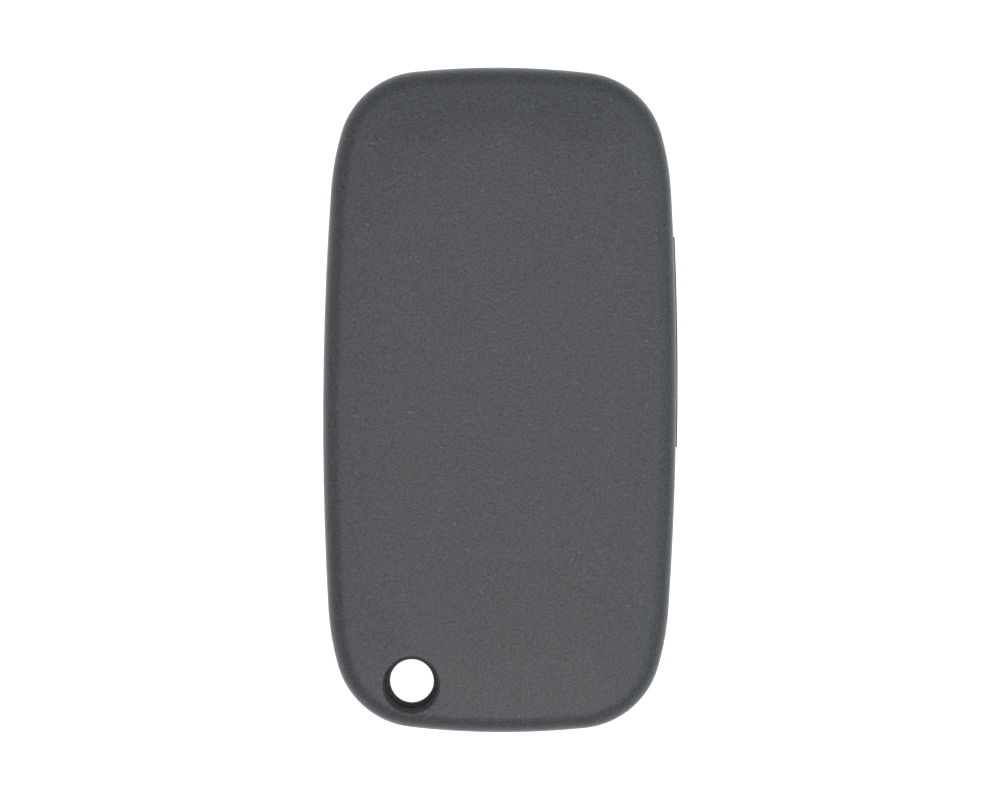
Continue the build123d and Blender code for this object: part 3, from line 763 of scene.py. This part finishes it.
cell_steel = ground_steel()
strip_nickel = milled_nickel()
dress("circuit_board", board_lacquer(), softness=0)
dress("battery_cell", cell_steel, softness=CELL_EDGE)
dress("battery_positive_contact", strip_nickel, softness=0)
dress("battery_negative_contact", strip_nickel, softness=0)
dress("crystal_can", cell_steel, softness=0)
for node, finish, colour, roughness in (
    ("remote_chip", "chip_epoxy", (0.02, 0.02, 0.021), 0.55),
    ("transponder_core", "ferrite", (0.045, 0.043, 0.042), 0.6),
    ("small_board_parts", "ceramic", (0.36, 0.29, 0.2), 0.5),
):
    dress(node, moulded(finish, colour, roughness), softness=0)
coil_low, coil_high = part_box("transponder_winding")
tree, shape = winding_shape()
winding = grown(tree, shape, "wound_aerial_coil", {
    "Wire": WINDING_WIRE,
    "Turns": int((coil_high[1] - coil_low[1]) / WINDING_WIRE),
    "Width": coil_high[0] - coil_low[0],
    "Height": coil_high[2] - coil_low[2],
    "Corner": WINDING_CORNER,
}, copper_wire(), [(coil_low[k] + coil_high[k]) / 2 for k in range(3)])
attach(winding, "housing")
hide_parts("transponder_winding")


# Table, light and camera
# The fob lies on its keys on a plain white table, under a broad soft lamp a little towards the key
# ring end and a weaker, cooler one to its right. The camera looks straight down on the back cover.

TABLE_LOW, TABLE_HIGH = (-2.4, -1.6), (1.6, 2.4)
TABLE_PAPER = (0.8, 0.8, 0.8)
TABLE_GLOW = (0.97, 0.97, 0.97)
SKY_LIGHT = (0.270, 0.302, 0.337)
LAMP_SIZE = 1.5
LAMP_PLACE = Vector((0.05, -0.52, 2.08))
LAMP_WATTS = 11.2
LAMP_COLOUR = (1, 1, 1)
FILL_SIZE = 1.3
FILL_PLACE = Vector((1.4, 0.1, 1.4))
FILL_WATTS = 4
FILL_COLOUR = (0.78, 0.92, 1)
PHOTO_WIDTH, PHOTO_HEIGHT = 1000, 800
SCALE_PX_PER_MM = 9.112
FOB_CENTRE_PX = (499.75, 399.90)
FOB_LEAN = radians(0.374)
OUTLINE_HEIGHT = 11.8 * MM
CAMERA_HEIGHT = 760 * MM
CAMERA_REACH = 10
SENSOR_WIDTH = 36


def white_behind(tree, lit, colour):
    """Adds a plain glow to a surface, seen only directly and in metal or glass."""
    path = tree.nodes.new("ShaderNodeLightPath")
    seen = path.outputs["Is Camera Ray"]
    for other in ("Is Glossy Ray", "Is Transmission Ray"):
        seen = put(tree, "ShaderNodeMath", {0: seen, 1: path.outputs[other]}, operation="MAXIMUM")[0]
    glow = put(tree, "ShaderNodeEmission", {"Color": (*colour, 1), "Strength": seen})[0]
    return put(tree, "ShaderNodeAddShader", {0: lit, 1: glow})[0]


table_mesh = bpy.data.meshes.new("table")
table_corners = [(x, y, 0) for x, y in rectangle(TABLE_LOW, TABLE_HIGH)]
table_mesh.from_pydata(table_corners, [], [(0, 1, 2, 3)])
table = in_scene("table", table_mesh)

table_white = bpy.data.materials.new("table_white")
table_white.use_nodes = True
tree = table_white.node_tree
tree.nodes.remove(tree.nodes["Principled BSDF"])
paper = put(tree, "ShaderNodeBsdfDiffuse", {"Color": (*TABLE_PAPER, 1)})[0]
clear = put(tree, "ShaderNodeBsdfTransparent", {})[0]
below = put(tree, "ShaderNodeNewGeometry", {})["Backfacing"]
from_above = white_behind(tree, paper, TABLE_GLOW)
open_below = put(tree, "ShaderNodeMixShader", {0: below, 1: from_above, 2: clear})[0]
tree.links.new(open_below, tree.nodes["Material Output"].inputs["Surface"])
table_mesh.materials.append(table_white)

world = bpy.data.worlds.new("studio")
bpy.context.scene.world = world
world.use_nodes = True
tree = world.node_tree
sky = tree.nodes["Background"]
sky.inputs["Color"].default_value = (*SKY_LIGHT, 1)
white_sky = white_behind(tree, sky.outputs[0], [1 - light for light in SKY_LIGHT])
tree.links.new(white_sky, tree.nodes["World Output"].inputs["Surface"])

for name, size, place, watts, colour in (
    ("soft_lamp", LAMP_SIZE, LAMP_PLACE, LAMP_WATTS, LAMP_COLOUR),
    ("fill_lamp", FILL_SIZE, FILL_PLACE, FILL_WATTS, FILL_COLOUR),
):
    light = bpy.data.lights.new(name, "AREA")
    light.shape = "SQUARE"
    light.size = size
    light.energy = watts
    light.color = colour
    lamp = in_scene(name, light)
    lamp.location = place
    lamp.rotation_mode = "QUATERNION"
    lamp.rotation_quaternion = place.to_track_quat("Z", "Y")
    lamp.visible_camera = False

lens = bpy.data.cameras.new("camera")
lens.sensor_width = SENSOR_WIDTH
lens.lens = SENSOR_WIDTH * SCALE_PX_PER_MM * (CAMERA_HEIGHT - OUTLINE_HEIGHT) / MM / PHOTO_WIDTH
lens.clip_end = CAMERA_REACH
camera = in_scene("camera", lens)
offset_x = (PHOTO_WIDTH / 2 - FOB_CENTRE_PX[0]) / SCALE_PX_PER_MM * MM
offset_y = (FOB_CENTRE_PX[1] - PHOTO_HEIGHT / 2) / SCALE_PX_PER_MM * MM
camera.location = (offset_x, offset_y, CAMERA_HEIGHT)
camera.rotation_euler = (0, 0, FOB_LEAN)
bpy.context.scene.camera = camera

bpy.context.scene.view_settings.view_transform = "Standard"
